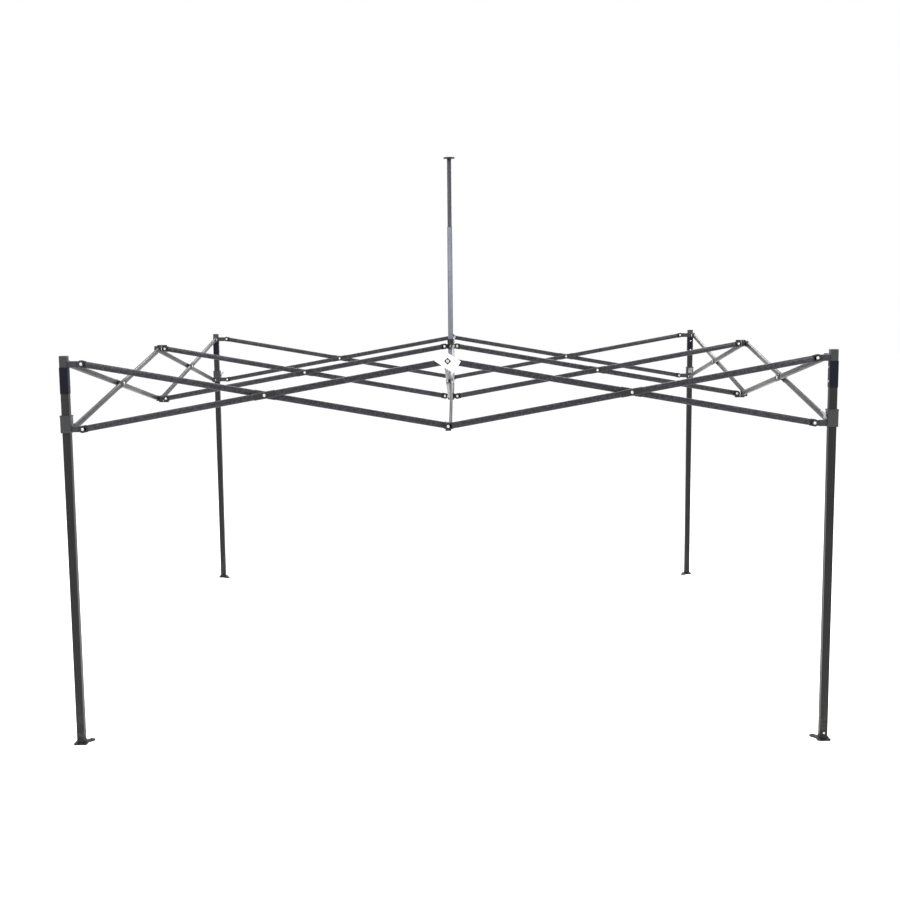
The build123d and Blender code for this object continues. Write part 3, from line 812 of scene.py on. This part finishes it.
# %% The two hubs
for node, ribs in (("upper_hub", [upper_ribs]), ("lower_hub", [])):
    moulding = clean_solid(others_of(node)[0], BLACK_NYLON)
    finish_piece(f"{node}_finish", [moulding, *ribs, pins_of(node)], node, "cap_black", node)
    print(node, len(moulding.polygons), "faces in the moulding")

# %% The mast, its pole and the cap
mast, mast_bush = every_solid["mast_tube"]
mast_meshes = [clean_solid(mast, MAST_TUBE, TUBE_EDGE), clean_solid(mast_bush, BLACK_NYLON, FINE_EDGE)]
finish_piece("mast_finish", mast_meshes, "lower_hub", "mast_silver", "mast_tube")
pole, pole_guide = every_solid["peak_pole"]
pole_meshes = [clean_solid(pole, POLE_TUBE, TUBE_EDGE), clean_solid(pole_guide, BLACK_NYLON, TUBE_EDGE)]
finish_piece("pole_finish", pole_meshes, "peak_pole", "pole_grey", "peak_pole")
peak_cap = clean_solid(every_solid["peak_cap"][0], BLACK_NYLON, 0)
finish_piece("peak_cap_finish", [peak_cap], "peak_pole", "cap_black", "peak_cap")
print("mast and pole", sum(len(mesh.polygons) for mesh in mast_meshes + pole_meshes), "faces")

# %% [markdown]
# ## Corners
# A corner has a leg-top bracket, the square outer leg with its loop tape, the inner leg with its
# foot, and a slider with a thumb latch. The inner leg is welded to its foot plate, and a weld
# is a row of overlapping beads, so a tree lays beads along a rounded square.

# %% Beads along a square seam
def bead_tree():
    tree, graph, size = new_tree("weld beads", Side="Float", Corner="Float", Pitch="Float",
                                 Bead="Float", Place="Vector", Coat="Material")
    square = {"Width": size["Side"], "Height": size["Side"]}
    seam = graph.add("GeometryNodeCurvePrimitiveQuadrilateral", square)
    rounded = {"Curve": seam, "Radius": size["Corner"], "Count": 3}
    seam = graph.add("GeometryNodeFilletCurve", rounded, mode="POLY")
    spots = graph.add("GeometryNodeCurveToPoints", {"Curve": seam, "Length": size["Pitch"]}, mode="LENGTH")
    ball = graph.add("GeometryNodeMeshIcoSphere", {"Radius": size["Bead"], "Subdivisions": 2})
    varied = {"Min": 0.82, "Max": 1.12, "Seed": 4}
    scale = graph.add("FunctionNodeRandomValue", varied, 1, data_type="FLOAT")
    beads = graph.add("GeometryNodeInstanceOnPoints", {"Points": spots, "Instance": ball, "Scale": scale})
    beads = graph.add("GeometryNodeTransform", {"Geometry": beads, "Translation": size["Place"]})
    return end_tree(tree, graph, beads, rest=size["Coat"])


BEAD_TREE = bead_tree()
print(len(BEAD_TREE.nodes), "nodes in the bead tree")


# %% Ridges across a lever
def ridge_tree():
    """Short round ridges in a row up the lever's thumb side, each along Y."""
    tree, graph, size = new_tree("thumb ridges", Count="Int", Start="Vector", Step="Vector",
                                 Wide="Float", Thick="Float", Nylon="Material")
    spots = {"Count": size["Count"], "Start Location": size["Start"], "Offset": size["Step"]}
    row = graph.add("GeometryNodeMeshLine", spots)
    half = size["Wide"] * 0.5
    ends = {"Start": at(graph, 0.0, 0 - half), "End": at(graph, 0.0, half)}
    line = graph.add("GeometryNodeCurvePrimitiveLine", ends)
    circle = graph.add("GeometryNodeCurvePrimitiveCircle", {"Resolution": 10, "Radius": size["Thick"]})
    swept = {"Curve": line, "Profile Curve": circle, "Fill Caps": True}
    ridge = graph.add("GeometryNodeCurveToMesh", swept)
    ridges = graph.add("GeometryNodeInstanceOnPoints", {"Points": row, "Instance": ridge})
    return end_tree(tree, graph, ridges, rest=size["Nylon"])


RIDGE_TREE = ridge_tree()
print(len(RIDGE_TREE.nodes), "nodes in the ridge tree")

# %% Sizes that the corners share
FOOT_HIGH = 5 * MM
FOOT_EDGE = 0.9 * MM
INNER_SIDE = 25 * MM
latch_pin = pivot("front_right_latch_press")
leg_low, leg_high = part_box("front_right_outer_leg")
leg_x = (leg_low.x + leg_high.x) / 2
leg_spot = Vector((leg_x, -leg_x, 0))
BEADS = {
    "Side": INNER_SIDE + 2 * MM, "Corner": 3 * MM, "Pitch": 2.4 * MM, "Bead": 2 * MM,
    "Place": leg_spot + Vector((0, 0, FOOT_HIGH + 0.4 * MM)), "Coat": FOOT_COAT,
}
RIDGES = {
    "Count": 5, "Start": latch_pin + Vector((-9.2 * MM, 0, 17 * MM)),
    "Step": Vector((-1.5 * MM, 0, 2 * MM)), "Wide": 20 * MM, "Thick": 0.8 * MM, "Nylon": LEVER_NYLON,
}
print(f"legs stand {leg_x:.4f} m from the middle, both ways")


# %% Leg, inner leg, slider and latch
def leg_meshes(corner):
    tube, tape, *rivets, bush = every_solid[f"{corner}_outer_leg"]
    meshes = [clean_solid(others_of(f"{corner}_leg_top")[0], GREY_NYLON, BODY_EDGE),
              clean_solid(tube, LEG_COAT, TUBE_EDGE), clean_solid(tape, TAPE, SMALL_EDGE),
              clean_solid(bush, BLACK_NYLON, SMALL_EDGE), pins_of(f"{corner}_leg_top")]
    return meshes + [clean_solid(rivet, ZINC, SMALL_EDGE) for rivet in rivets]


def inner_leg_meshes(corner, turn):
    tube, guide, button, foot = every_solid[f"{corner}_inner_leg"]
    beads = grown("beads", BEAD_TREE, BEADS)
    beads.transform(turn)
    return [clean_solid(tube, INNER_COAT, TUBE_EDGE), clean_solid(guide, BLACK_NYLON, FINE_EDGE),
            clean_solid(button, ZINC, SMALL_EDGE), clean_solid(foot, FOOT_COAT, FOOT_EDGE), beads]


def slider_meshes(corner):
    body, lock_pin = others_of(f"{corner}_slider")
    return [clean_solid(body, GREY_NYLON, BODY_EDGE), clean_solid(lock_pin, ZINC, FINE_EDGE),
            pins_of(f"{corner}_slider")]


def latch_meshes(corner, turn):
    ridges = grown("ridges", RIDGE_TREE, RIDGES)
    ridges.transform(turn)
    return [clean_solid(every_solid[f"{corner}_latch"][0], LEVER_NYLON, SMALL_EDGE), ridges]


# %% Finish the four corners
for k, corner in enumerate(CORNERS):
    turn = Matrix.Rotation(k * pi / 2, 4, "Z")
    top, outer, inner = f"{corner}_leg_top", f"{corner}_outer_leg", f"{corner}_inner_leg"
    slider, latch = f"{corner}_slider", f"{corner}_latch"
    finish_piece(f"{corner}_leg_finish", leg_meshes(corner), f"{corner}_leg", "leg_charcoal", top, outer)
    finish_piece(f"{inner}_finish", inner_leg_meshes(corner, turn), inner, "inner_leg_grey", inner)
    finish_piece(f"{slider}_finish", slider_meshes(corner), slider, "bracket_grey", slider)
    finish_piece(f"{latch}_finish", latch_meshes(corner, turn), latch, "bracket_grey", latch)

# %% [markdown]
# ## Floor, light and camera
# The frame is dark and thin, so it reads best against a white sweep under a wide overhead box,
# with smaller boxes in front, and one behind, to put a line of light along the bars' upper edges.
# The camera is a normal lens at about eye height, six metres in front of the middle and tipped
# down slightly.

# %% Studio floor
FLOOR_HALF = 30.0
FLOOR_DARK = (0.88, 0.88, 0.885)
FLOOR_LIGHT = (0.92, 0.92, 0.92)
PURE_WHITE = (1, 1, 1, 1)


def studio_floor(name):
    material, graph, place = start_finish(name)
    cloud = noise(graph, place, scale=0.8, detail=3.0)
    grain = noise(graph, place, scale=90.0, detail=3.0)
    colour = blend(graph, cloud * 0.6 + grain * 0.4, FLOOR_DARK, FLOOR_LIGHT)
    return end_finish(material, graph, Base_Color=colour, Roughness=0.75 + grain * 0.1,
                      Normal=bump(graph, grain, distance=0.0002), Emission_Color=PURE_WHITE,
                      Emission_Strength=0.12)


floor_corners = [(x * FLOOR_HALF, y * FLOOR_HALF, 0) for x, y in ((-1, -1), (1, -1), (1, 1), (-1, 1))]
floor_mesh = bpy.data.meshes.new("floor")
floor_mesh.from_pydata(floor_corners, [], [(0, 1, 2, 3)])
floor_mesh.materials.append(studio_floor("pale_studio_floor"))
floor = bpy.data.objects.new("floor", floor_mesh)
bpy.context.scene.collection.objects.link(floor)

# %% Lights
LIT_POINT = Vector((0, 0, 1.3))     # every box faces the middle of the frame


def soft_box(name, place, wide, tall, power):
    light = bpy.data.lights.new(name, "AREA")
    light.shape = "RECTANGLE"
    light.size = wide
    light.size_y = tall
    light.energy = power
    thing = bpy.data.objects.new(name, light)
    thing.location = place
    thing.rotation_euler = (LIT_POINT - Vector(place)).to_track_quat("-Z", "Y").to_euler()
    bpy.context.scene.collection.objects.link(thing)


world = bpy.data.worlds.new("studio")
world.use_nodes = True
world.node_tree.nodes["Background"].inputs["Color"].default_value = PURE_WHITE
world.node_tree.nodes["Background"].inputs["Strength"].default_value = 1.0
bpy.context.scene.world = world
soft_box("overhead", (0, 0, 5.2), wide=6.0, tall=6.0, power=420)
soft_box("front left", (-4.2, -5.6, 3.6), wide=2.4, tall=2.0, power=130)
soft_box("front right", (4.6, -5.0, 3.0), wide=2.0, tall=2.0, power=90)
soft_box("back", (0.5, 6.0, 3.4), wide=4.0, tall=2.0, power=110)
print(len(bpy.data.lights), "soft boxes")

# %% Camera
LENS = 48.98
EYE = (0.0508, -6.1114, 1.7290)
YAW, PITCH, ROLL = -0.00968, 0.12266, -0.00922
FAR_CLIP = 100
camera = bpy.data.objects.new("camera", bpy.data.cameras.new("camera"))
camera.data.lens = LENS
camera.data.clip_end = FAR_CLIP
camera.location = EYE
ahead = Vector((sin(YAW) * cos(PITCH), cos(YAW) * cos(PITCH), -sin(PITCH)))
camera.rotation_mode = "QUATERNION"
camera.rotation_quaternion = ahead.to_track_quat("-Z", "Y") @ Quaternion((0, 0, 1), ROLL)
bpy.context.scene.collection.objects.link(camera)
bpy.context.scene.camera = camera
bpy.context.scene.view_settings.view_transform = "Standard"
print("camera looks along", [round(v, 3) for v in ahead])
